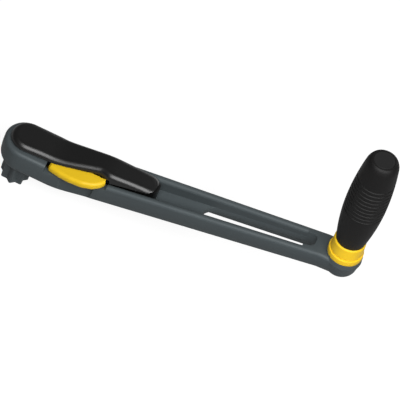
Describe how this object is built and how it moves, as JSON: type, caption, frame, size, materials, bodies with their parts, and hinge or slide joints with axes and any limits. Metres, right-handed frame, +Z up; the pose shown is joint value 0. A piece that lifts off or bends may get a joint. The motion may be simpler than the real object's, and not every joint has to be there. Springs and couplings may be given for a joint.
{
  "type": "crank handle",
  "caption": "Cranked winch handle with a star drive that locks, a slotted alloy arm, a thumb lever and a barrel grip that spins.",
  "frame": {"origin": "on the star drive's axis, in the plane of the shoulder where the star meets the head", "axes": "+X from the star's axis towards the grip, +Z up along the grip, -Y the side of the lock lever"},
  "size_m": [0.2874, 0.0405, 0.1907],
  "materials": {
    "alloy": "slate-grey anodised or powder-coated alloy, satin",
    "cover_black": "soft-touch matte",
    "lever_yellow": "satin moulded",
    "collar_yellow": "satin moulded",
    "grip_black": "grained grip",
    "inner_plastic": "moulded",
    "bearing_plastic": "smooth acetal",
    "seal_rubber": "smooth",
    "stainless": "turned stainless"
  },
  "bodies": {
    "arm": {"arm_casting": "alloy", "top_cover": "cover_black", "cover_screw_front": "stainless", "cover_screw_tail": "stainless", "lever_pivot_pin": "stainless", "lever_spring": "stainless", "spindle_bush": "bearing_plastic", "grip_axle": "stainless", "thrust_washer": "bearing_plastic", "axle_washer": "stainless", "axle_screw": "stainless"},
    "lever": {"lock_lever": "lever_yellow", "lever_drive_pin": "stainless"},
    "spindle": {"lock_spindle": "stainless", "spindle_seal": "seal_rubber", "spindle_crank": "stainless", "crank_screw": "stainless", "lock_plate": "alloy", "plate_screw": "stainless"},
    "grip": {"grip_collar": "collar_yellow", "grip_sleeve": "grip_black", "grip_core": "inner_plastic", "grip_cap": "inner_plastic", "lower_bush": "bearing_plastic", "upper_bush": "bearing_plastic"}
  },
  "joints": [
    {"name": "lever_press", "type": "hinge", "parent": "arm", "child": "lever", "pos_m": [0.027, -0.008, 0.012], "axis": [0, 0, 1], "range_deg": [0, 12], "stiffness_Nm_per_rad": 0.35, "springref_deg": -5.73},
    {"name": "plate_turn", "type": "hinge", "parent": "arm", "child": "spindle", "pos_m": [0, 0, -0.01], "axis": [0, 0, 1], "range_deg": [-22.5, 0]},
    {"name": "grip_spin", "type": "hinge", "parent": "arm", "child": "grip", "pos_m": [0.254, 0, 0.1], "axis": [0, 0, 1], "continuous": true}
  ],
  "couplings": [
    {"joint": "plate_turn", "follows": "lever_press", "ratio": -1.875}
  ]
}
